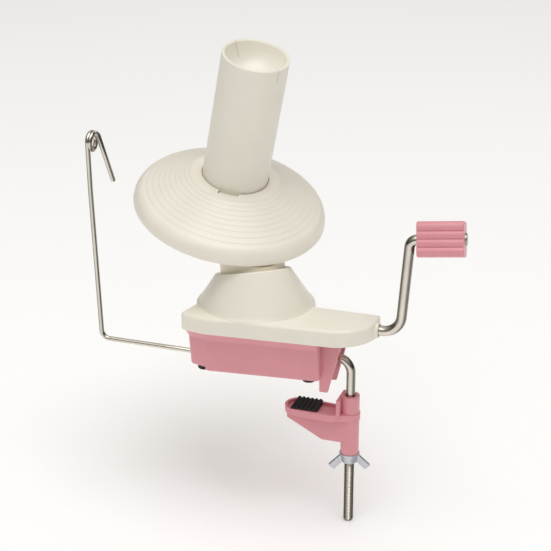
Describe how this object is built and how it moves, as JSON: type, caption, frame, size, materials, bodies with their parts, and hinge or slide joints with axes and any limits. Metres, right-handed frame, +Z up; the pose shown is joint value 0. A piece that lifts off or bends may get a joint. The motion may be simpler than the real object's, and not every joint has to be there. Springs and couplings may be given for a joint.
{
  "type": "hand-cranked yarn ball winder",
  "caption": "Hand-cranked yarn winder: tilted disc and spindle on a moulded base, with a crank, a table clamp and a wire yarn guide.",
  "frame": {"origin": "on the table top's edge, where the two prongs hook over it, in the plane of the clamp rod and the crank's axis", "axes": "+X away from the table towards the crank and grip, +Z up, the guide wire's eye on the -X side and the open front on the -Y side"},
  "size_m": [0.2276, 0.1202, 0.2824],
  "materials": {
    "ivory_plastic": "smooth, softly glossy moulding",
    "pink_plastic": "smooth, softly glossy moulding",
    "plated_steel": "satin nickel plating",
    "zinc": "dull zinc",
    "black_rubber": "matt",
    "nylon": "plain, waxy"
  },
  "bodies": {
    "base": {"tray": "pink_plastic", "cover": "ivory_plastic", "rubber_feet": "black_rubber", "cover_screws": "zinc", "clamp_rod": "plated_steel", "rod_nut": "zinc", "crank_bushes": "nylon", "centre_post": "plated_steel", "thrust_washer": "zinc", "sun_gear": "nylon", "sun_screw": "zinc"},
    "crank": {"crank_rod": "plated_steel", "crank_gear": "nylon", "gear_pin": "plated_steel", "grip_cap": "plated_steel"},
    "grip": {"grip": "pink_plastic"},
    "rotor": {"rotor": "ivory_plastic", "rotor_pinion": "nylon", "stub_shaft": "plated_steel", "spindle_screw": "zinc"},
    "spool": {"disc": "ivory_plastic", "ring_gear": "nylon", "spindle": "ivory_plastic", "spindle_cup": "ivory_plastic"},
    "jaw": {"clamp_jaw": "pink_plastic", "jaw_pad": "black_rubber", "clamp_washer": "zinc"},
    "nut": {"wing_nut": "zinc"},
    "guide": {"guide_wire": "plated_steel", "wire_collar": "zinc"}
  },
  "joints": [
    {"name": "crank_turn", "type": "hinge", "parent": "base", "child": "crank", "pos_m": [0, 0, 0.033], "axis": [1, 0, 0], "continuous": true},
    {"name": "grip_spin", "type": "hinge", "parent": "crank", "child": "grip", "pos_m": [0.0525, 0.00057, 0.09052], "axis": [0.9875, 0.1376, 0.0774], "continuous": true},
    {"name": "rotor_turn", "type": "hinge", "parent": "base", "child": "rotor", "pos_m": [-0.04184, 0, 0.033], "axis": [-0.1862, 0.261, 0.9472], "continuous": true},
    {"name": "spool_turn", "type": "hinge", "parent": "rotor", "child": "spool", "pos_m": [-0.07062, 0.03406, 0.08613], "axis": [0.2305, -0.1795, 0.9564], "continuous": true},
    {"name": "jaw_slide", "type": "slide", "parent": "base", "child": "jaw", "axis": [0, 0, 1], "range_m": [-0.034, 0.01]},
    {"name": "nut_turn", "type": "hinge", "parent": "jaw", "child": "nut", "pos_m": [0.016, 0, -0.05], "axis": [0, 0, 1], "range_deg": [-12241, 3601]},
    {"name": "guide_swing", "type": "hinge", "parent": "base", "child": "guide", "pos_m": [-0.07, -0.005, 0.0054], "axis": [1, 0, 0], "range_deg": [-8, 90]}
  ],
  "couplings": [
    {"joint": "rotor_turn", "follows": "crank_turn", "ratio": -1.5},
    {"joint": "spool_turn", "follows": "crank_turn", "ratio": 0.375},
    {"joint": "nut_turn", "follows": "jaw_slide", "rad_per_m": 6283.2}
  ]
}
